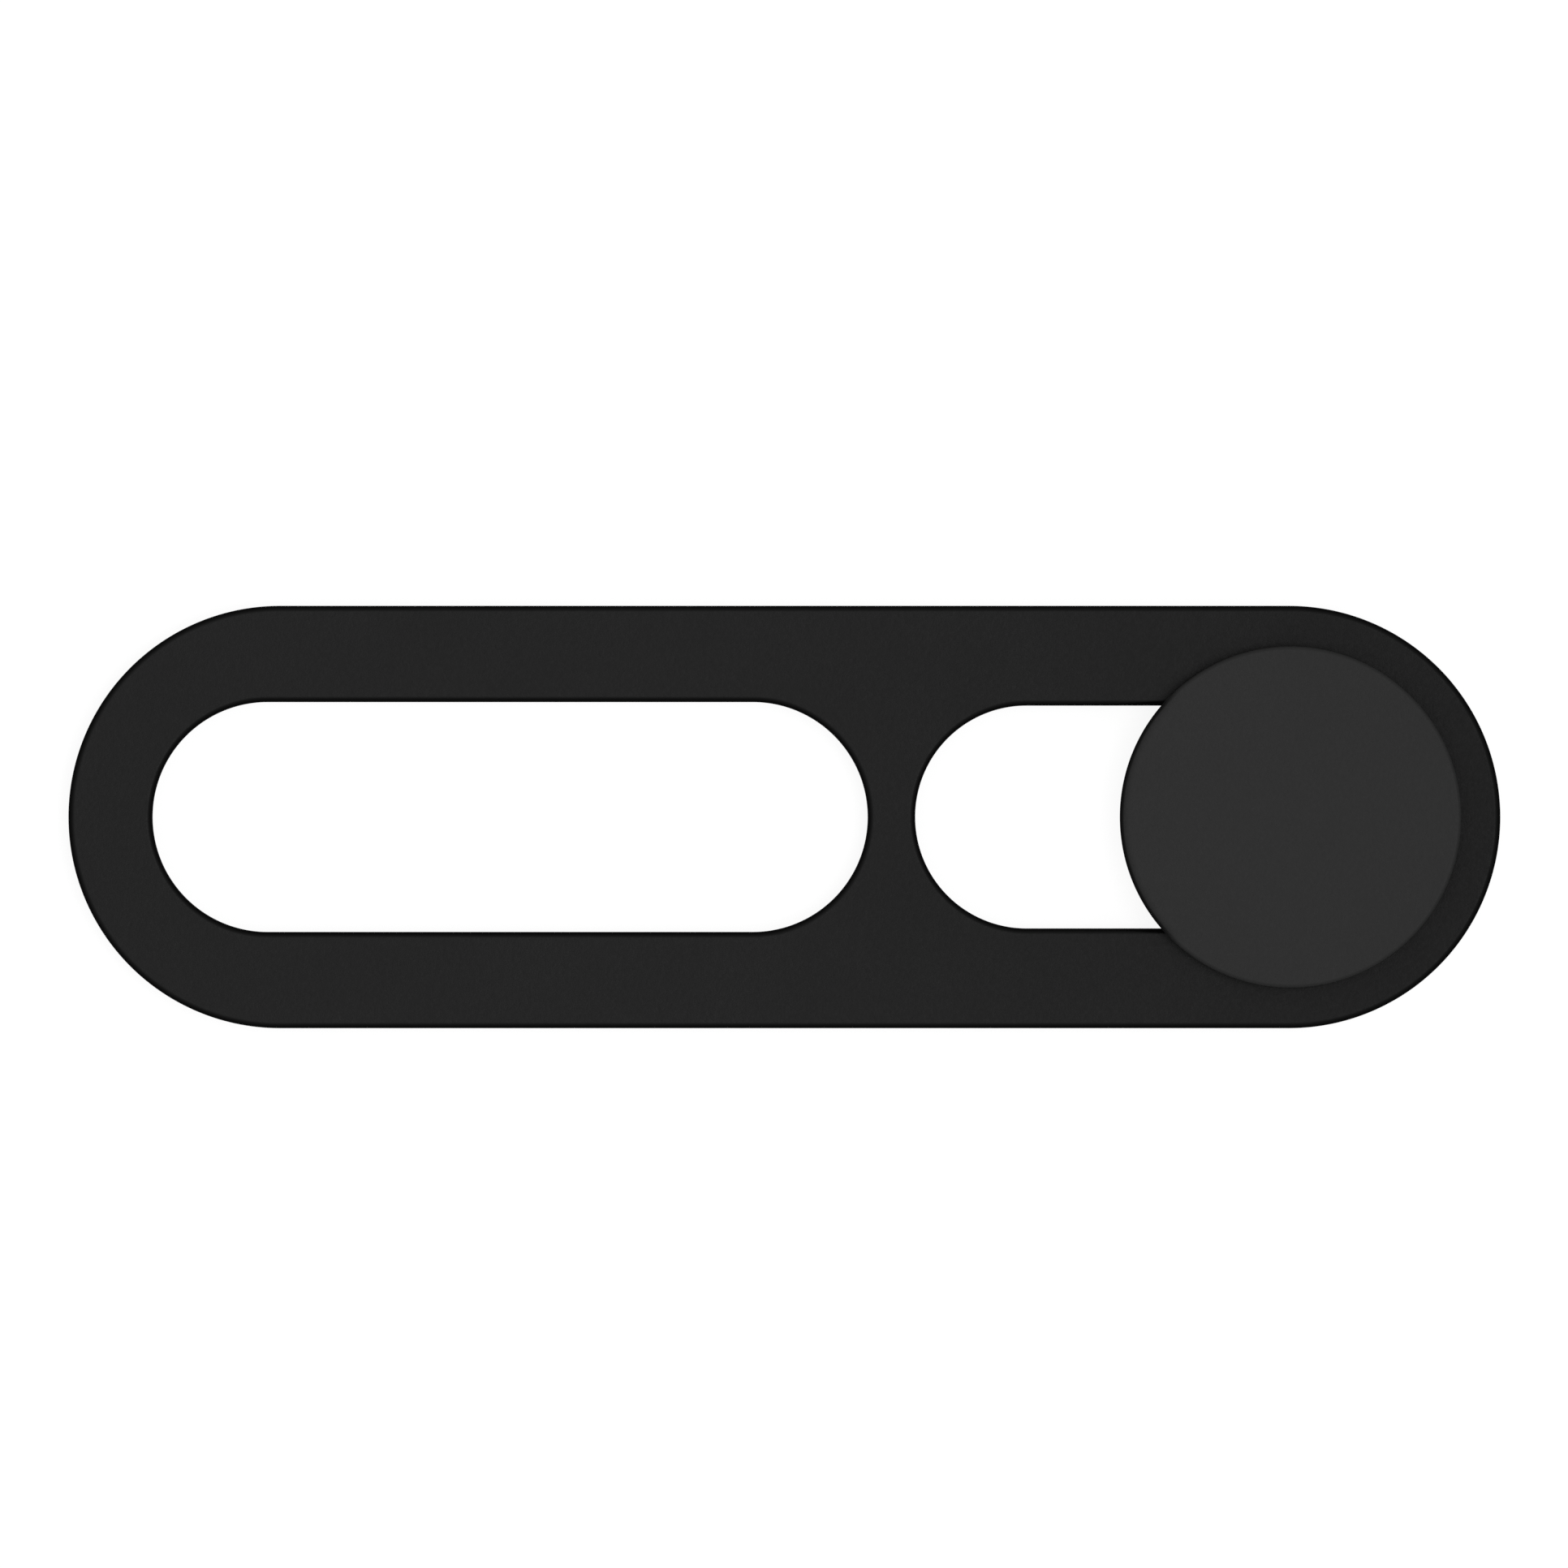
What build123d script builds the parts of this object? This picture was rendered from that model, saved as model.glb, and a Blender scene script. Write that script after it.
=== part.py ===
from build123d import *
import os

os.makedirs("parts", exist_ok=True)

# Webcam cover slider, millimetres.
# Origin: centre of the adhesive back face. +X runs along the plate towards the
# end where the disc rests, +Y across it, +Z out of the front face.

# ---- plate outline and slots -------------------------------------------------
plate_length = 36.00
plate_width = 10.62
plate_thickness = 0.80
plate_edge_radius = 0.16        # soft front edges of the outline and the slots
plate_back_radius = 0.05        # broken back edge of the outline

end_margin = 2.11               # plate end to slot end, the same at both ends
sensor_slot_width = 5.78        # long left-hand slot
sensor_slot_right = 2.095       # its end next to the bar
camera_slot_width = 5.60        # right-hand slot, which the disc runs in
camera_slot_left = 3.289        # its end next to the bar

# ---- layers, from the back up ------------------------------------------------
tape_thickness = 0.15
recess_depth = 0.34             # pocket in the plate's back for the retainer
retainer_thickness = 0.22
running_gap = 0.05              # play between sliding faces

# ---- slider ------------------------------------------------------------------
disc_diameter = 8.58
disc_thickness = 0.50
disc_edge_radius = 0.10
disc_back_radius = 0.05
disc_rest_x = 12.72             # open position, against the right-hand stop
travel = 6.25                   # to the left, over the camera slot
hub_width = camera_slot_width - 2 * running_gap
retainer_lip = 0.65             # retainer reaches this far past the hub
retainer_edge = 0.04
recess_play = 0.10              # recess outline past the swept retainer

pin_radius = 0.40               # staked pins that hold the retainer
pin_hole_play = 0.02
pin_spacing_x = 3.10
pin_spacing_y = 2.50
stake_head_radius = 0.66
stake_head_height = 0.05
stake_head_edge = 0.035

# ---- tape --------------------------------------------------------------------
tape_inset = 0.30               # back from every plate edge
tape_bar_gap = 3.60             # tape left off the thin bar between the slots
tape_corner = 0.25

# ---- derived -----------------------------------------------------------------
sensor_slot_left = -plate_length / 2 + end_margin
camera_slot_right = plate_length / 2 - end_margin
sensor_slot_length = sensor_slot_right - sensor_slot_left
sensor_slot_x = (sensor_slot_right + sensor_slot_left) / 2
camera_slot_length = camera_slot_right - camera_slot_left
camera_slot_x = (camera_slot_right + camera_slot_left) / 2

hub_length = 2 * (camera_slot_right - running_gap - disc_rest_x)
retainer_length = hub_length + 2 * retainer_lip
retainer_width = hub_width + 2 * retainer_lip

recess_right = disc_rest_x + retainer_length / 2 + recess_play
recess_left = disc_rest_x - travel - retainer_length / 2 - recess_play
recess_length = recess_right - recess_left
recess_x = (recess_right + recess_left) / 2
recess_width = retainer_width + 2 * recess_play

plate_back_z = tape_thickness
plate_front_z = plate_back_z + plate_thickness
recess_top_z = plate_back_z + recess_depth
retainer_top_z = recess_top_z - running_gap
retainer_back_z = retainer_top_z - retainer_thickness
disc_back_z = plate_front_z + running_gap
disc_front_z = disc_back_z + disc_thickness

# ---- base plate: one moulding ------------------------------------------------
with BuildPart() as base_plate:
    with BuildSketch(Plane.XY.offset(plate_back_z)) as plate_outline:
        SlotOverall(plate_length, plate_width)
    extrude(amount=plate_thickness)
    # broken edge round the back of the outline
    fillet(base_plate.edges().group_by(Axis.Z)[0], radius=plate_back_radius)
    # the two slots, right through
    with BuildSketch(Plane.XY.offset(plate_back_z)) as slots:
        with Locations((sensor_slot_x, 0)):
            SlotOverall(sensor_slot_length, sensor_slot_width)
        with Locations((camera_slot_x, 0)):
            SlotOverall(camera_slot_length, camera_slot_width)
    extrude(amount=plate_thickness, mode=Mode.SUBTRACT)
    # pocket behind the camera slot
    with BuildSketch(Plane.XY.offset(plate_back_z)) as recess:
        with Locations((recess_x, 0)):
            SlotOverall(recess_length, recess_width)
    extrude(amount=recess_depth, mode=Mode.SUBTRACT)
    # rounded front edges of the outline and of both slots
    fillet(base_plate.edges().group_by(Axis.Z)[-1], radius=plate_edge_radius)

# ---- slider disc: button, oblong hub and staked pins in one moulding ---------
with BuildPart() as slider_disc:
    with BuildSketch(Plane.XY.offset(disc_back_z)) as button:
        with Locations((disc_rest_x, 0)):
            Circle(disc_diameter / 2)
    extrude(amount=disc_thickness)
    fillet(slider_disc.edges().group_by(Axis.Z)[-1], radius=disc_edge_radius)
    fillet(slider_disc.edges().group_by(Axis.Z)[0], radius=disc_back_radius)
    # hub that runs in the slot; its flats keep the disc from turning
    with BuildSketch(Plane.XY.offset(retainer_top_z)) as hub:
        with Locations((disc_rest_x, 0)):
            SlotOverall(hub_length, hub_width)
    extrude(amount=disc_back_z - retainer_top_z)
    # pins through the retainer
    with BuildSketch(Plane.XY.offset(retainer_back_z)) as pins:
        with Locations((disc_rest_x, 0)):
            with GridLocations(pin_spacing_x, pin_spacing_y, 2, 2):
                Circle(pin_radius)
    extrude(amount=retainer_thickness)
    # flattened heads formed on the pins
    with BuildSketch(Plane.XY.offset(retainer_back_z - stake_head_height)) as heads:
        with Locations((disc_rest_x, 0)):
            with GridLocations(pin_spacing_x, pin_spacing_y, 2, 2):
                Circle(stake_head_radius)
    extrude(amount=stake_head_height)
    fillet(slider_disc.edges().group_by(Axis.Z)[0], radius=stake_head_edge)

# ---- retainer: flat plate behind the slot ------------------------------------
with BuildPart() as slide_retainer:
    with BuildSketch(Plane.XY.offset(retainer_back_z)) as retainer_outline:
        with Locations((disc_rest_x, 0)):
            SlotOverall(retainer_length, retainer_width)
    extrude(amount=retainer_thickness)
    chamfer(slide_retainer.edges().group_by(Axis.Z)[0], length=retainer_edge)
    chamfer(slide_retainer.edges().group_by(Axis.Z)[-1], length=retainer_edge)
    with BuildSketch(Plane.XY.offset(retainer_back_z)) as pin_holes:
        with Locations((disc_rest_x, 0)):
            with GridLocations(pin_spacing_x, pin_spacing_y, 2, 2):
                Circle(pin_radius + pin_hole_play)
    extrude(amount=retainer_thickness, mode=Mode.SUBTRACT)

# ---- adhesive tape: one die-cut ring -----------------------------------------
with BuildPart() as adhesive_tape:
    with BuildSketch() as tape_outline:
        SlotOverall(plate_length - 2 * tape_inset, plate_width - 2 * tape_inset)
        with Locations((sensor_slot_x, 0)):
            SlotOverall(
                sensor_slot_length + 2 * tape_inset,
                sensor_slot_width + 2 * tape_inset,
                mode=Mode.SUBTRACT,
            )
        with Locations((recess_x, 0)):
            SlotOverall(
                recess_length + 2 * tape_inset,
                recess_width + 2 * tape_inset,
                mode=Mode.SUBTRACT,
            )
        with Locations(((sensor_slot_right + recess_left) / 2, 0)):
            Rectangle(3.0, tape_bar_gap, mode=Mode.SUBTRACT)
    extrude(amount=tape_thickness)
    # rounded corners of the two short tongues at the bar
    tongue_corners = (
        adhesive_tape.edges()
        .filter_by(Axis.Z)
        .filter_by_position(Axis.X, 0.5, 4.2)
        .filter_by_position(Axis.Y, -2.0, 2.0)
    )
    fillet(tongue_corners, radius=tape_corner)

base_plate.part.label = "base_plate"
slider_disc.part.label = "slider_disc"
slide_retainer.part.label = "slide_retainer"
adhesive_tape.part.label = "adhesive_tape"

export_step(base_plate.part, "parts/base_plate.step")
export_step(slider_disc.part, "parts/slider_disc.step")
export_step(slide_retainer.part, "parts/slide_retainer.step")
export_step(adhesive_tape.part, "parts/adhesive_tape.step")
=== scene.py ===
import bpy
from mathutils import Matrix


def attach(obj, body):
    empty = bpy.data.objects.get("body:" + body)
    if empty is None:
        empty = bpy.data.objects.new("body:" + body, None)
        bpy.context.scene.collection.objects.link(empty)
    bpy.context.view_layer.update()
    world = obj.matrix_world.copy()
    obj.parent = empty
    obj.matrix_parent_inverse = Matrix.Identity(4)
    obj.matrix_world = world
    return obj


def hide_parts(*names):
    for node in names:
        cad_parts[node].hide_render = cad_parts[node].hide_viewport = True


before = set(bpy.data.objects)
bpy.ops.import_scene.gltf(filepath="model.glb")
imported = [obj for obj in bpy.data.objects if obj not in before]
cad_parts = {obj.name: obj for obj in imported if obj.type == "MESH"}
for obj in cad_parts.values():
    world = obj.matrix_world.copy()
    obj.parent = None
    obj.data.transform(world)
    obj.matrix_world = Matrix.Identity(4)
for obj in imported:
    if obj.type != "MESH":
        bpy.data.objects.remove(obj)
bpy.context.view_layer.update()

import math

import bpy
from mathutils import Vector
from mathutils.geometry import delaunay_2d_cdt

# Webcam cover slider: a black moulded plate with two slots, a round slider disc,
# its retainer behind the slot and a die-cut tape ring on the back.
# Lengths below are millimetres in the row frame and become metres in each mesh.

MM = 0.001

# ---- sizes, the same as the solids -------------------------------------------
PLATE_A, PLATE_R = 12.69, 5.31               # half straight run and end radius
PLATE_BACK, PLATE_FRONT = 0.15, 0.95
PLATE_EDGE, PLATE_BACK_EDGE = 0.16, 0.05
SENSOR_X, SENSOR_A, SENSOR_R = -6.8975, 6.1025, 2.89
CAMERA_X, CAMERA_A, CAMERA_R = 9.5895, 3.5005, 2.80
RECESS_X, RECESS_A, RECESS_R, RECESS_TOP = 9.595, 3.495, 3.50, 0.49
DISC_X, DISC_R, DISC_EDGE, DISC_BACK_EDGE = 12.72, 4.29, 0.10, 0.05
DISC_BACK, DISC_FRONT = 1.00, 1.50
HUB_A, HUB_R = 0.37, 2.75
RETAINER_A, RETAINER_R, RETAINER_EDGE = 0.37, 3.40, 0.04
RETAINER_BACK, RETAINER_FRONT = 0.22, 0.44
PIN_X, PIN_Y, PIN_R, PIN_HOLE_R = 1.55, 1.25, 0.40, 0.42
HEAD_R, HEAD_LOW = 0.66, 0.17
TAPE_INSET, TAPE_BAR = 0.30, 1.80


# ---- mesh building -----------------------------------------------------------
def within(x, y, loop):
    """Whether a point lies inside a closed loop of points."""
    inside = False
    ax, ay = loop[-1][:2]
    for bx, by, *_ in loop:
        if (ay > y) != (by > y) and x < ax + (y - ay) / (by - ay) * (bx - ax):
            inside = not inside
        ax, ay = bx, by
    return inside


class Shell:
    """Rings of points, the faces between them and an exact normal for every face corner."""

    def __init__(self):
        self.points, self.rim, self.faces, self.normals = [], [], [], []

    def ring(self, points, rims):
        first = len(self.points)
        self.points.extend(points)
        self.rim.extend(rims)
        return list(range(first, first + len(points)))

    def face(self, corners, normals):
        p = [Vector(self.points[i]) for i in corners]
        flat = (p[1] - p[0]).cross(p[2] - p[0])
        if len(p) == 4:
            flat = (p[2] - p[0]).cross(p[3] - p[1])
        if flat.dot(sum(normals, Vector())) < 0:
            corners, normals = corners[::-1], normals[::-1]
        self.faces.append(tuple(corners))
        self.normals.extend(normals)

    def band(self, a, b, na, nb):
        n = len(a)
        for i in range(n):
            j = (i + 1) % n
            self.face([a[i], a[j], b[j], b[i]], [na[i], na[j], nb[j], nb[i]])

    def cap(self, loops, up):
        index = [i for loop in loops for i in loop]
        flat = [Vector(self.points[i][:2]) for i in index]
        edges, first = [], 0
        for loop in loops:
            n = len(loop)
            edges += [(first + i, first + (i + 1) % n) for i in range(n)]
            first += n
        spots, _, faces, origin, _, _ = delaunay_2d_cdt(flat, edges, [], 1, 1e-7)
        normal = Vector((0, 0, 1 if up else -1))
        holes = [[self.points[i] for i in loop] for loop in loops[1:]]
        for f in faces:
            x, y = sum((spots[v] for v in f), Vector((0, 0))) / len(f)
            if not any(within(x, y, hole) for hole in holes):
                self.face([index[origin[v][0]] for v in f], [normal] * len(f))

    def profile(self, outline, steps, flip=False, share=None):
        """Rings along an edge profile. outline(r) gives ring points and outward directions; steps are
        (radius, height, tilt, rim), with tilt 0 facing up, 90 outwards and 180 down. Two steps at the same
        place with different tilts make a sharp edge. share(direction) is how much of the rim value (painted
        shade and a smoother finish) the edge has on that side, all of it by default. Returns the first and last rings."""
        first = last = None
        before = None
        for radius, height, tilt, rim in steps:
            flat, out = outline(radius)
            s, c = math.sin(math.radians(tilt)), math.cos(math.radians(tilt))
            if flip:
                s = -s
            normals = [Vector((d[0] * s, d[1] * s, c)) for d in out]
            if before and before[0] == (radius, height):
                ring = before[1]           # a sharp edge keeps its ring
            else:
                rims = [rim * share(d) for d in out] if share else [rim] * len(out)
                ring = self.ring([(x, y, height) for x, y in flat], rims)
                if before:
                    self.band(before[1], ring, before[2], normals)
            first = first or ring
            last = ring
            before = ((radius, height), ring, normals)
        return first, last

    def build(self, name):
        mesh = bpy.data.meshes.new(name)
        mesh.from_pydata([(x * MM, y * MM, z * MM) for x, y, z in self.points], [], self.faces)
        mesh.polygons.foreach_set("use_smooth", [True] * len(mesh.polygons))
        mesh.normals_split_custom_set([n.normalized() for n in self.normals])
        rim = mesh.attributes.new("rim", "FLOAT", "POINT")
        rim.data.foreach_set("value", self.rim)
        mesh.update()
        piece = bpy.data.objects.new(name, mesh)
        bpy.context.scene.collection.objects.link(piece)
        return piece


def stadium(x, a, arc=96, run=48):
    """Round-ended slot outline about (x, 0): half straight run a, for any end radius."""
    def outline(r):
        flat, out = [], []
        for i in range(arc):
            t = math.pi * (i / arc - 0.5)
            flat.append((x + a + r * math.cos(t), r * math.sin(t)))
            out.append((math.cos(t), math.sin(t)))
        for i in range(run):
            flat.append((x + a - 2 * a * i / run, r))
            out.append((0.0, 1.0))
        for i in range(arc):
            t = math.pi * (i / arc + 0.5)
            flat.append((x - a + r * math.cos(t), r * math.sin(t)))
            out.append((math.cos(t), math.sin(t)))
        for i in range(run):
            flat.append((x - a + 2 * a * i / run, -r))
            out.append((0.0, -1.0))
        return flat, out
    return outline


def circle(x, y, count=160):
    def outline(r):
        turn = [2 * math.pi * i / count for i in range(count)]
        out = [(math.cos(t), math.sin(t)) for t in turn]
        return [(x + r * c, y + r * s) for c, s in out], out
    return outline


def ease(u):
    u = min(1.0, max(0.0, u))
    return u * u * (3 - 2 * u)


def round_over(r, z, f, count=12, inward=False, base=0.0, start=0.10, reach=0.40):
    """Steps of a rounded front edge: from the flat front at height z over to the wall of radius r. The rim value,
    painted shade and a smoother finish, is a band along the rounding, which fades out towards the flat, down to base,
    and towards the wall."""
    steps = []
    for i in range(count + 1):
        t = 90.0 * i / count
        s, c = math.sin(math.radians(t)), math.cos(math.radians(t))
        radius = r + f - f * s if inward else r - f + f * s
        rim = (base + (1 - base) * ease((s - start) / reach)) * (1 - ease((s - 0.90) / 0.09))
        steps.append((radius, z - f + f * c, t, rim))
    return steps


def round_under(r, z, f, count=6, inward=False, rim=0.0):
    """Steps of a rounded back edge: from the wall of radius r under to the flat back at height z."""
    steps = []
    for i in range(count + 1):
        t = 90.0 + 90.0 * i / count
        s, c = math.sin(math.radians(t)), math.cos(math.radians(t))
        radius = r + f - f * s if inward else r - f + f * s
        steps.append((radius, z + f + f * c, t, rim * s))
    return steps


# ---- base plate --------------------------------------------------------------
plate = Shell()
top_out, back_out = plate.profile(
    stadium(0, PLATE_A, 120, 72),
    round_over(PLATE_R, PLATE_FRONT, PLATE_EDGE) + round_under(PLATE_R, PLATE_BACK, PLATE_BACK_EDGE),
)
top_sensor, back_sensor = plate.profile(
    stadium(SENSOR_X, SENSOR_A),
    round_over(SENSOR_R, PLATE_FRONT, PLATE_EDGE, inward=True)
    + round_under(SENSOR_R, PLATE_BACK, 0.03, 3, inward=True),
    flip=True,
)
top_camera, ledge_camera = plate.profile(
    stadium(CAMERA_X, CAMERA_A),
    round_over(CAMERA_R, PLATE_FRONT, PLATE_EDGE, inward=True)
    + round_under(CAMERA_R, RECESS_TOP, 0.03, 3, inward=True),
    flip=True,
)
# The recess's inner corner has rim value 0.4: painted shade, darker in that corner.
ledge_recess, back_recess = plate.profile(
    stadium(RECESS_X, RECESS_A),
    [(RECESS_R, RECESS_TOP, 90, 0.4)] + round_under(RECESS_R, PLATE_BACK, 0.03, 3, inward=True),
    flip=True,
)
plate.cap([top_out, top_sensor, top_camera], True)
plate.cap([ledge_recess, ledge_camera], False)
plate.cap([back_out, back_sensor, back_recess], False)
base_plate = plate.build("cover_plate")

# ---- slider disc: button, oblong hub, pins with formed heads -----------------
def left_edge_shade(d):
    """Painted shade on the disc's left-hand edge: how much of the dark rim each outward direction gets, full on the
    left and none on the rest of the edge.
    """
    return ease((-d[0] - 0.64) / 0.14)


disc = Shell()
# The disc's rim values paint shade along its left-hand edge, reaching a little onto the flat top.
disc_front, disc_back = disc.profile(
    circle(DISC_X, 0, 240),
    [(DISC_R - 0.25, DISC_FRONT, 0, 0.0), (DISC_R - 0.17, DISC_FRONT, 0, 0.18)]
    + round_over(DISC_R, DISC_FRONT, DISC_EDGE, 14, base=0.60, start=0.0, reach=0.36)
    + round_under(DISC_R, DISC_BACK, DISC_BACK_EDGE),
    share=left_edge_shade,
)
disc.cap([disc_front], True)
hub_top, hub_low = disc.profile(
    stadium(DISC_X, HUB_A, 64, 12), [(HUB_R, DISC_BACK, 90, 0.0), (HUB_R, RETAINER_FRONT, 90, 0.0)]
)
disc.cap([disc_back, hub_top], False)
pin_tops = []
for sx in (-1, 1):
    for sy in (-1, 1):
        at = circle(DISC_X + sx * PIN_X, sy * PIN_Y, 64)
        pin_top, pin_low = disc.profile(at, [(PIN_R, RETAINER_FRONT, 90, 0.0), (PIN_R, RETAINER_BACK, 90, 0.0)])
        pin_tops.append(pin_top)
        # low dome pressed against the retainer, with a small flat left by the staking tool
        # the rim values make the dome a little darker, most at its foot against the retainer: painted shade
        dome = [(HEAD_R, RETAINER_BACK, 90, 0.3), (HEAD_R, RETAINER_BACK - 0.012, 90, 0.2)]
        for i in range(1, 9):
            t = i / 8
            r = HEAD_R - 0.30 * t
            z = RETAINER_BACK - 0.012 - 0.033 * math.sin(0.5 * math.pi * t) ** 0.9
            dome.append((r, z, 180 - 62 * (1 - t) ** 1.4, 0.08))
        dome += [(0.33, HEAD_LOW + 0.001, 176, 0.08), (0.31, HEAD_LOW, 180, 0.04)]
        head_top, head_low = disc.profile(at, dome)
        disc.cap([head_top, pin_low], True)
        disc.cap([head_low], False)
disc.cap([hub_low] + pin_tops, False)
slider_disc = disc.build("slider_button")

# ---- retainer: flat plate with broken edges, pin holes and a gate dimple -----
retainer = Shell()
# The retainer's rim values paint shade: darker along its front edges, in the pin holes and most in the gate dimple.
e = RETAINER_EDGE
r_top, r_back = retainer.profile(
    stadium(DISC_X, RETAINER_A, 80, 16),
    round_over(RETAINER_R, RETAINER_FRONT, e, 4) + round_under(RETAINER_R, RETAINER_BACK, e, 4),
)
front_holes, back_holes = [], []
for sx in (-1, 1):
    for sy in (-1, 1):
        hole_top, hole_low = retainer.profile(
            circle(DISC_X + sx * PIN_X, sy * PIN_Y, 64),
            [(PIN_HOLE_R, RETAINER_FRONT, 90, 0.2), (PIN_HOLE_R, RETAINER_BACK, 90, 0.2)],
            flip=True,
        )
        front_holes.append(hole_top)
        back_holes.append(hole_low)
# shallow dimple with the broken-off gate in its middle
dimple, nub = retainer.profile(
    circle(DISC_X, 0, 64),
    [(0.44, RETAINER_BACK, 180, 0.3), (0.43, RETAINER_BACK + 0.002, 168, 0.4), (0.37, RETAINER_BACK + 0.016, 164, 0.4),
     (0.30, RETAINER_BACK + 0.026, 172, 0.4), (0.22, RETAINER_BACK + 0.030, 180, 0.4), (0.13, RETAINER_BACK + 0.030, 184, 0.5),
     (0.11, RETAINER_BACK + 0.026, 225, 0.7), (0.095, RETAINER_BACK + 0.016, 235, 0.8), (0.07, RETAINER_BACK + 0.010, 180, 0.8)],
    flip=True,
)
retainer.cap([nub], False)
retainer.cap([r_top] + front_holes, True)
retainer.cap([r_back, dimple] + back_holes, False)
slide_retainer = retainer.build("slider_retainer")


# ---- tape: one die-cut ring --------------------------------------------------
def tape_hole():
    """Inner edge of the tape: round the long slot, across the bar with short rounded tongues, round the recess."""
    rs, rr = SENSOR_R + TAPE_INSET, RECESS_R + TAPE_INSET
    sr, rl = SENSOR_X + SENSOR_A, RECESS_X - RECESS_A
    sl, rrx = SENSOR_X - SENSOR_A, RECESS_X + RECESS_A
    ts, tr = math.asin(TAPE_BAR / rs), math.asin(TAPE_BAR / rr)

    def arc(x, r, a, b, n):
        return [(x + r * math.cos(a + (b - a) * i / n), r * math.sin(a + (b - a) * i / n)) for i in range(n + 1)]

    def soft(corner, before, after, n=8):
        p0, p1, p2 = Vector(before), Vector(corner), Vector(after)
        return [tuple(p0 * (1 - t) ** 2 + p1 * 2 * t * (1 - t) + p2 * t * t) for t in (i / n for i in range(n + 1))]

    cut = 0.25
    half = []                                   # upper half, from the right end to the left end
    half += arc(rrx, rr, 0, math.pi / 2, 64)
    half += [(rrx + (rl - rrx) * i / 40, rr) for i in range(1, 40)]
    corner_r = (rl - rr * math.cos(tr), TAPE_BAR)
    corner_s = (sr + rs * math.cos(ts), TAPE_BAR)
    half += arc(rl, rr, math.pi / 2, math.pi - tr - cut / rr, 56)
    half += soft(corner_r, half[-1], (corner_r[0] - cut, TAPE_BAR))[1:]
    half += soft(corner_s, (corner_s[0] + cut, TAPE_BAR), arc(sr, rs, ts + cut / rs, ts, 1)[0])
    half += arc(sr, rs, ts + cut / rs, math.pi / 2, 48)[1:]
    half += [(sr + (sl - sr) * i / 60, rs) for i in range(1, 60)]
    half += arc(sl, rs, math.pi / 2, math.pi, 64)
    flat = half + [(x, -y) for x, y in half[-2:0:-1]]
    out = []
    n = len(flat)
    for i in range(n):
        d = Vector(flat[(i + 1) % n]) - Vector(flat[i - 1])
        d.normalize()
        out.append((d.y, -d.x))                 # away from the hole's middle, into the tape
    return flat, out


tape = Shell()
tape_top, tape_back = tape.profile(
    stadium(0, PLATE_A, 120, 72),
    [(PLATE_R - TAPE_INSET, PLATE_BACK, 90, 1.0), (PLATE_R - TAPE_INSET, 0.03, 90, 1.0)]
    + round_under(PLATE_R - TAPE_INSET, 0.0, 0.03, 4)[1:],
)
hole_flat, hole_out = tape_hole()


def hole_outline(r):
    return [(x + o[0] * r, y + o[1] * r) for (x, y), o in zip(hole_flat, hole_out)], hole_out


hole_top, hole_back = tape.profile(
    hole_outline,
    [(0.0, PLATE_BACK, 90, 1.0), (0.0, 0.03, 90, 1.0)] + round_under(0.0, 0.0, 0.03, 4, inward=True)[1:],
    flip=True,
)
tape.cap([tape_top, hole_top], True)
tape.cap([tape_back, hole_back], False)
adhesive_tape = tape.build("tape_ring")


# ---- materials ---------------------------------------------------------------
def node(tree, kind, at=(0, 0), **values):
    n = tree.nodes.new(kind)
    n.location = at
    for key, value in values.items():
        if key in n.inputs:
            n.inputs[key].default_value = value
        else:
            setattr(n, key, value)
    return n


def noise(tree, coords, scale, detail=2.0, roughness=0.5):
    n = node(tree, "ShaderNodeTexNoise", Scale=scale, Detail=detail, Roughness=roughness)
    tree.links.new(coords, n.inputs["Vector"])
    return n.outputs["Fac"]


def spread(tree, value, low, high, a=0.3, b=0.7):
    n = node(tree, "ShaderNodeMapRange")
    n.inputs["From Min"].default_value = a
    n.inputs["From Max"].default_value = b
    n.inputs["To Min"].default_value = low
    n.inputs["To Max"].default_value = high
    tree.links.new(value, n.inputs["Value"])
    return n.outputs["Result"]


def maths(tree, operation, a, b):
    n = node(tree, "ShaderNodeMath", operation=operation)
    for i, v in enumerate((a, b)):
        if isinstance(v, (int, float)):
            n.inputs[i].default_value = v
        else:
            tree.links.new(v, n.inputs[i])
    return n.outputs[0]


def two_tone(tree, factor, dark, light):
    n = node(tree, "ShaderNodeMix", data_type="RGBA")
    n.inputs["A"].default_value = (*dark, 1)
    n.inputs["B"].default_value = (*light, 1)
    colour_inputs = [s for s in n.inputs if s.type == "RGBA"]
    colour_inputs[0].default_value = (*dark, 1)
    colour_inputs[1].default_value = (*light, 1)
    tree.links.new(factor, n.inputs["Factor"])
    return next(s for s in n.outputs if s.type == "RGBA")


def darken(tree, colour, factor, keep):
    """Multiply a colour by keep where factor is 1, and leave it where factor is 0."""
    n = node(tree, "ShaderNodeMix", data_type="RGBA", blend_type="MULTIPLY")
    colour_inputs = [s for s in n.inputs if s.type == "RGBA"]
    tree.links.new(colour, colour_inputs[0])
    colour_inputs[1].default_value = (keep, keep, keep, 1)
    tree.links.new(factor, n.inputs["Factor"])
    return next(s for s in n.outputs if s.type == "RGBA")


def millimetres(tree):
    """The piece's own coordinates, in millimetres."""
    where = node(tree, "ShaderNodeTexCoord")
    scale = node(tree, "ShaderNodeVectorMath", operation="SCALE", Scale=1000.0)
    tree.links.new(where.outputs["Object"], scale.inputs[0])
    return scale.outputs[0]


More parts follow.
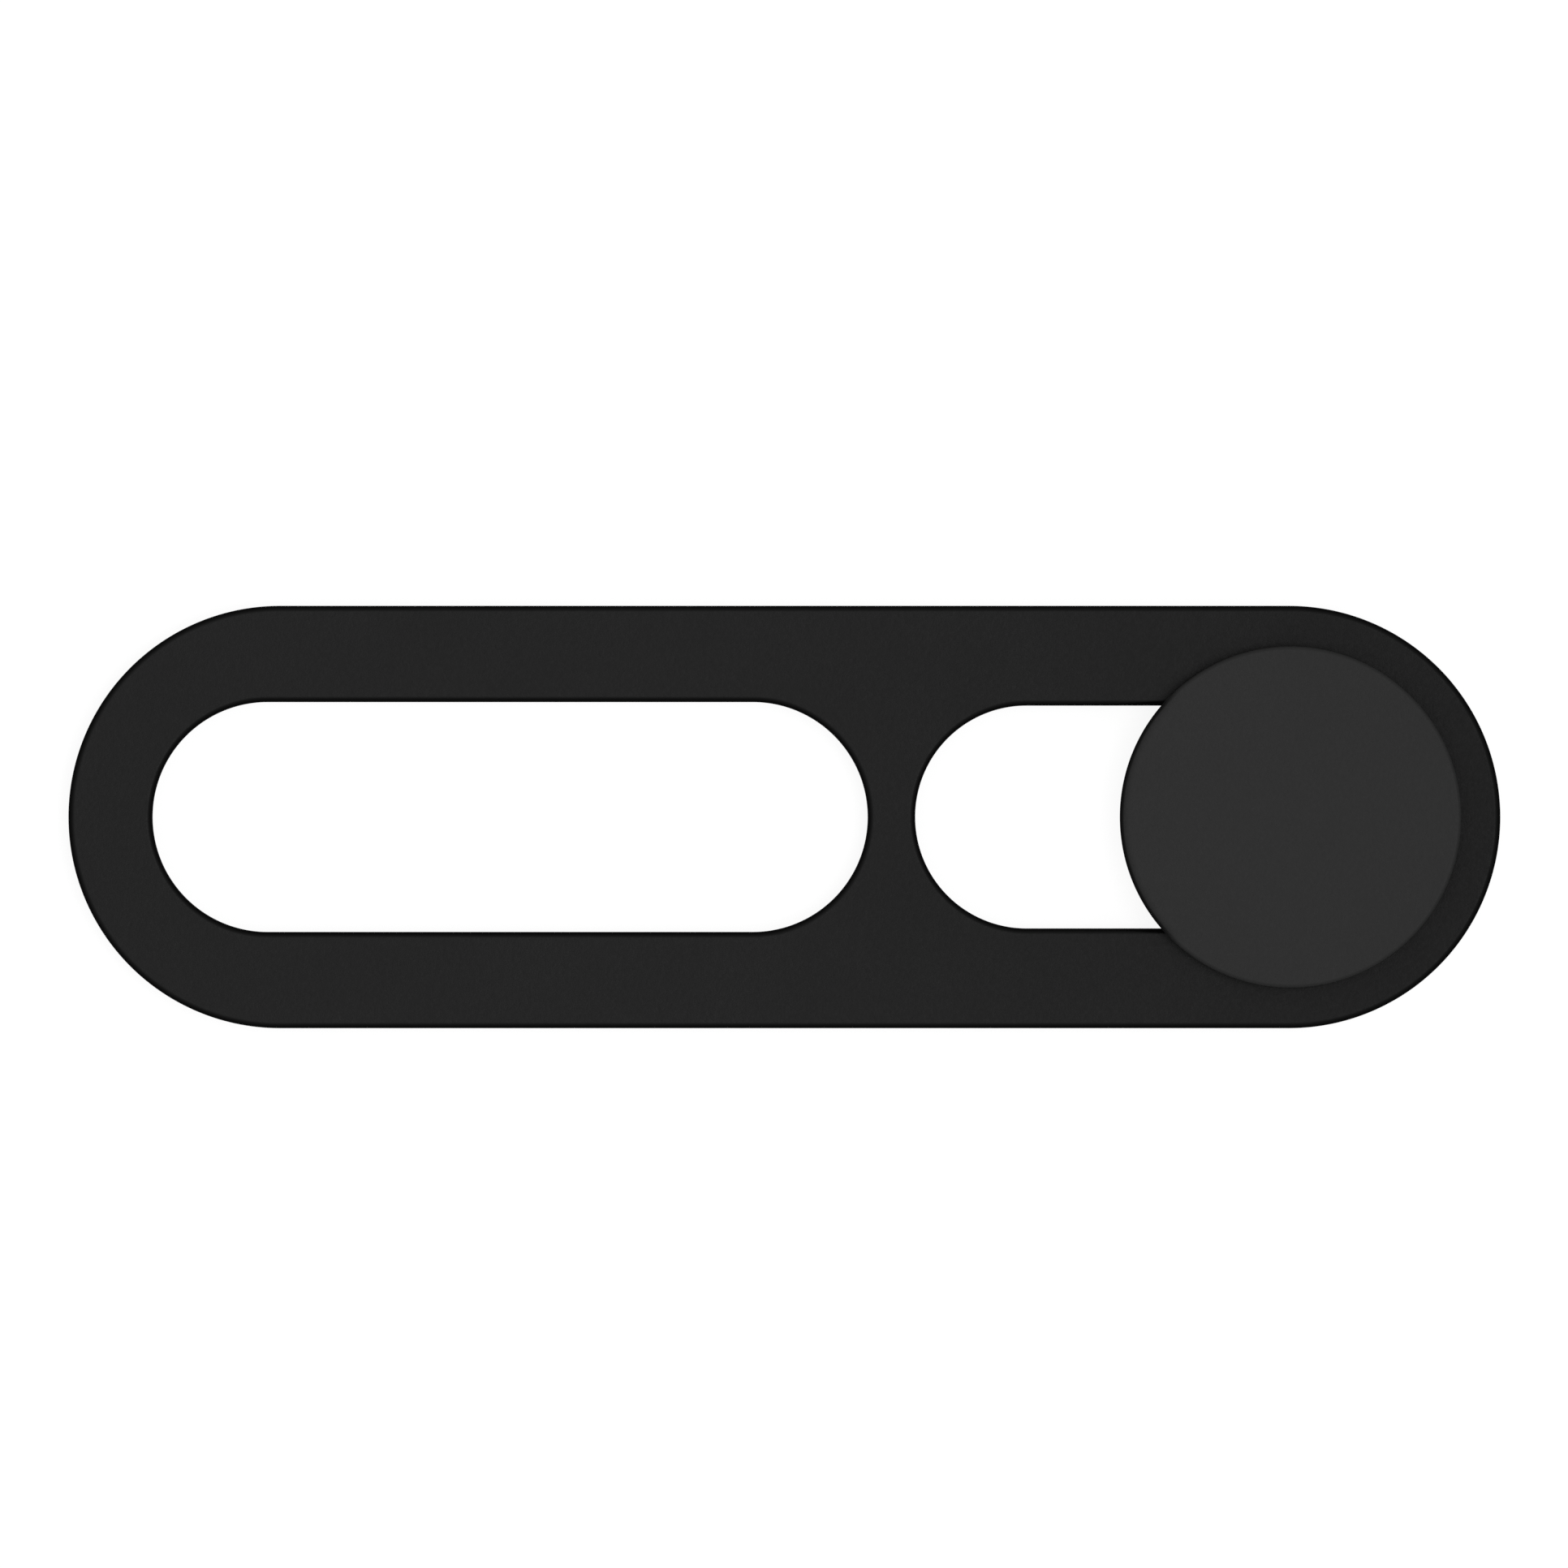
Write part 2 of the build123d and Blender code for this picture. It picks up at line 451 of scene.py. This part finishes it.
def moulded(name, dark, light, rough, grain=0.012, grain_size=10.0, rim_shade_keep=None, rim_rough=-0.06, level=0.5, shade_ramp=None):
    """Fine matte moulded plastic: spark-eroded grain in two sizes, faint flow mottling, and rims that are smoother and
    carry painted shade, their colour darkened down to a keep factor where the rim value is 1.
    The tone ramp (from, to, keep) is painted shade: the colour darkens along the piece's x, from no change at x = from
    to keep times the colour at x = to."""
    material = bpy.data.materials.new(name)
    material.use_nodes = True
    tree = material.node_tree
    shader = tree.nodes["Principled BSDF"]
    shader.inputs["Specular IOR Level"].default_value = level
    mm = millimetres(tree)
    rim = node(tree, "ShaderNodeAttribute", attribute_name="rim").outputs["Fac"]
    coarse = noise(tree, mm, grain_size, 2.0, 0.5)
    fine = noise(tree, mm, grain_size * 2.3, 2.0, 0.55)
    mottle = noise(tree, mm, 0.45, 3.0, 0.5)
    pits = maths(tree, "ADD", maths(tree, "MULTIPLY", coarse, 0.6), maths(tree, "MULTIPLY", fine, 0.4))
    tone = maths(tree, "ADD", maths(tree, "MULTIPLY", mottle, 0.55), maths(tree, "MULTIPLY", pits, 0.45))
    colour = two_tone(tree, spread(tree, tone, 0, 1, 0.35, 0.65), dark, light)
    # painted shade: darker towards the piece's right-hand end
    if shade_ramp is not None:
        along = node(tree, "ShaderNodeSeparateXYZ")
        tree.links.new(mm, along.inputs[0])
        u = spread(tree, along.outputs["X"], 0.0, 1.0, shade_ramp[0], shade_ramp[1])
        colour = darken(tree, colour, maths(tree, "MULTIPLY", u, u), shade_ramp[2])
    # painted shade: the colour is darkened where the rim value is high, along rounded edges and in hollows
    if rim_shade_keep is not None:
        colour = darken(tree, colour, rim, rim_shade_keep)
    tree.links.new(colour, shader.inputs["Base Color"])
    r = maths(tree, "ADD", spread(tree, mottle, rough - 0.02, rough + 0.02), spread(tree, pits, -0.05, 0.05))
    r = maths(tree, "ADD", r, maths(tree, "MULTIPLY", rim, rim_rough))
    tree.links.new(r, shader.inputs["Roughness"])
    fade = maths(tree, "SUBTRACT", 1.0, maths(tree, "MULTIPLY", rim, 0.7))
    height = maths(tree, "MULTIPLY", pits, fade)
    bump = node(tree, "ShaderNodeBump", Strength=1.0, Distance=grain * MM)
    tree.links.new(height, bump.inputs["Height"])
    tree.links.new(bump.outputs["Normal"], shader.inputs["Normal"])
    return material


def strands(tree, coords, shift, scale, thin):
    """Thin curling fibres, each set laid at its own place."""
    lay = node(tree, "ShaderNodeMapping")
    lay.inputs["Location"].default_value = shift
    tree.links.new(coords, lay.inputs["Vector"])
    wander = noise(tree, lay.outputs[0], scale, 1.0, 0.45)
    away = node(tree, "ShaderNodeMath", operation="ABSOLUTE")
    tree.links.new(maths(tree, "SUBTRACT", wander, 0.5), away.inputs[0])
    return spread(tree, away.outputs[0], 1.0, 0.0, 0.0, thin)


def adhesive(name):
    """Milky tissue tape: fine curling fibres under a tacky, faintly rippled face."""
    material = bpy.data.materials.new(name)
    material.use_nodes = True
    tree = material.node_tree
    shader = tree.nodes["Principled BSDF"]
    mm = millimetres(tree)
    fibres = strands(tree, mm, (3.1, 7.7, 0.0), 1.1, 0.016)
    for shift, scale in (((-11.3, 2.9, 4.0), 1.4), ((5.6, -8.2, 9.0), 0.9), ((17.9, 13.4, -6.0), 1.2)):
        fibres = maths(tree, "MAXIMUM", fibres, strands(tree, mm, shift, scale, 0.016))
    cloud = noise(tree, mm, 1.6, 3.0, 0.6)
    tone = maths(tree, "ADD", maths(tree, "MULTIPLY", fibres, 0.30), maths(tree, "MULTIPLY", cloud, 0.9))
    colour = two_tone(tree, spread(tree, tone, 0, 1, 0.25, 0.90), (0.60, 0.585, 0.545), (0.76, 0.75, 0.715))
    tree.links.new(colour, shader.inputs["Base Color"])
    tree.links.new(spread(tree, cloud, 0.34, 0.48), shader.inputs["Roughness"])
    ripple = maths(tree, "ADD", maths(tree, "MULTIPLY", fibres, 0.22), cloud)
    bump = node(tree, "ShaderNodeBump", Strength=1.0, Distance=0.016 * MM)
    tree.links.new(ripple, bump.inputs["Height"])
    tree.links.new(bump.outputs["Normal"], shader.inputs["Normal"])
    return material


# The plate's rims carry painted shade, a dark outline along every edge.
plate_plastic = moulded(
    "plate_plastic", (0.0164, 0.0164, 0.0164), (0.0180, 0.0180, 0.0180), 0.52, rim_shade_keep=0.08, rim_rough=-0.26, level=0.30,
    # painted shade: the plate darkens towards its right-hand end by the disc
    shade_ramp=(-6.0, 17.5, 0.42),
)
disc_plastic = moulded(
    "disc_plastic", (0.0450, 0.0450, 0.0450), (0.0472, 0.0472, 0.0472), 0.54, grain_size=11.0, rim_shade_keep=0.05, level=0.30
)
retainer_plastic = moulded(
    "retainer_plastic", (0.0150, 0.0150, 0.0155), (0.0200, 0.0200, 0.0205), 0.44, grain=0.005, rim_shade_keep=0.6, level=0.30
)
tape_face = adhesive("tape_face")

for piece, material, cad_node, body, slot in (
    (base_plate, plate_plastic, "base_plate", "plate", "plate_plastic"),
    (slider_disc, disc_plastic, "slider_disc", "slider", "disc_plastic"),
    (slide_retainer, retainer_plastic, "slide_retainer", "slider", "retainer_plastic"),
    (adhesive_tape, tape_face, "adhesive_tape", "plate", "tape"),
):
    piece.data.materials.append(material)
    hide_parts(cad_node)
    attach(piece, body)

# ---- floor -------------------------------------------------------------------
floor_mesh = bpy.data.meshes.new("floor")
floor_mesh.from_pydata([(-2, -2, 0), (2, -2, 0), (2, 2, 0), (-2, 2, 0)], [], [(0, 1, 2, 3)])
floor = bpy.data.objects.new("floor", floor_mesh)
floor.location.z = -0.00002
bpy.context.scene.collection.objects.link(floor)
floor_white = bpy.data.materials.new("floor_white")
floor_white.use_nodes = True
tree = floor_white.node_tree
tree.nodes.clear()
out = node(tree, "ShaderNodeOutputMaterial")
lit = node(tree, "ShaderNodeBsdfDiffuse", Color=(0.42, 0.42, 0.42, 1))
glow = node(tree, "ShaderNodeEmission", Color=(1, 1, 1, 1), Strength=0.88)
both = node(tree, "ShaderNodeAddShader")
clear = node(tree, "ShaderNodeBsdfTransparent")
side = node(tree, "ShaderNodeNewGeometry")
pick = node(tree, "ShaderNodeMixShader")
tree.links.new(lit.outputs[0], both.inputs[0])
tree.links.new(glow.outputs[0], both.inputs[1])
tree.links.new(side.outputs["Backfacing"], pick.inputs[0])
tree.links.new(both.outputs[0], pick.inputs[1])
tree.links.new(clear.outputs[0], pick.inputs[2])
tree.links.new(pick.outputs[0], out.inputs["Surface"])
floor_mesh.materials.append(floor_white)
floor.visible_diffuse = False
floor.visible_glossy = False
floor.visible_transmission = False
floor.visible_shadow = False

# ---- soft studio light -------------------------------------------------------
world = bpy.data.worlds.new("studio")
bpy.context.scene.world = world
world.use_nodes = True
tree = world.node_tree
tree.nodes.clear()
out = node(tree, "ShaderNodeOutputWorld")
where = node(tree, "ShaderNodeTexCoord")
split = node(tree, "ShaderNodeSeparateXYZ")
tree.links.new(where.outputs["Generated"], split.inputs[0])
ramp = node(tree, "ShaderNodeValToRGB")
ramp.color_ramp.interpolation = "EASE"
points = ramp.color_ramp.elements
points[0].position, points[0].color = 0.0, (0.05, 0.05, 0.05, 1)
points[1].position, points[1].color = 1.0, (0.30, 0.30, 0.30, 1)
for at, level in ((0.46, 0.06), (0.56, 0.09), (0.64, 0.14), (0.80, 0.24)):
    p = points.new(at)
    p.color = (level, level, level, 1)
half_up = spread(tree, split.outputs["Z"], 0.0, 1.0, -1.0, 1.0)
tree.links.new(half_up, ramp.inputs["Fac"])
sky = node(tree, "ShaderNodeBackground", Strength=1.18)
tree.links.new(ramp.outputs["Color"], sky.inputs["Color"])
backdrop = node(tree, "ShaderNodeBackground", Color=(1, 1, 1, 1), Strength=1.05)
path = node(tree, "ShaderNodeLightPath")
pick = node(tree, "ShaderNodeMixShader")
tree.links.new(path.outputs["Is Camera Ray"], pick.inputs[0])
tree.links.new(sky.outputs[0], pick.inputs[1])
tree.links.new(backdrop.outputs[0], pick.inputs[2])
tree.links.new(pick.outputs[0], out.inputs["Surface"])


def softbox(name, place, size, power):
    light = bpy.data.lights.new(name, "AREA")
    light.shape = "DISK"
    light.size = size
    light.energy = power
    lamp = bpy.data.objects.new(name, light)
    lamp.location = place
    lamp.rotation_mode = "QUATERNION"
    lamp.rotation_quaternion = (-Vector(place)).to_track_quat("-Z", "Y")
    lamp.visible_camera = False
    bpy.context.scene.collection.objects.link(lamp)
    return lamp


softbox("key", (0.262, -0.040, 0.964), 0.50, 1.20)
softbox("under", (-0.19, -0.14, -0.91), 0.50, 7.5).visible_glossy = False
# light that a pale table throws up on the side walls
for i in range(4):
    turn = math.radians(20 + 90 * i)
    softbox(f"side_{i}", (0.985 * math.cos(turn), 0.985 * math.sin(turn), -0.174), 0.50, 1.0).visible_glossy = False

# ---- camera, straight above --------------------------------------------------
PX = 36.0 / 1764.0 * MM                         # metres to a pixel of the 1932-pixel frame
camera = bpy.data.cameras.new("camera")
camera.lens, camera.sensor_width = 1000.0, 36.0
distance = 1932 * PX / 2 / (camera.sensor_width / 2 / camera.lens)
eye = bpy.data.objects.new("camera", camera)
eye.location = ((966 - 966.45) * PX, (1006.7 - 966) * PX, 0.6 * MM + distance)
eye.rotation_euler = (0, 0, 0)
camera.clip_start, camera.clip_end = 0.01, 10.0
bpy.context.scene.collection.objects.link(eye)
bpy.context.scene.camera = eye

view = bpy.context.scene.view_settings
view.view_transform = "Standard"
view.look = "None"
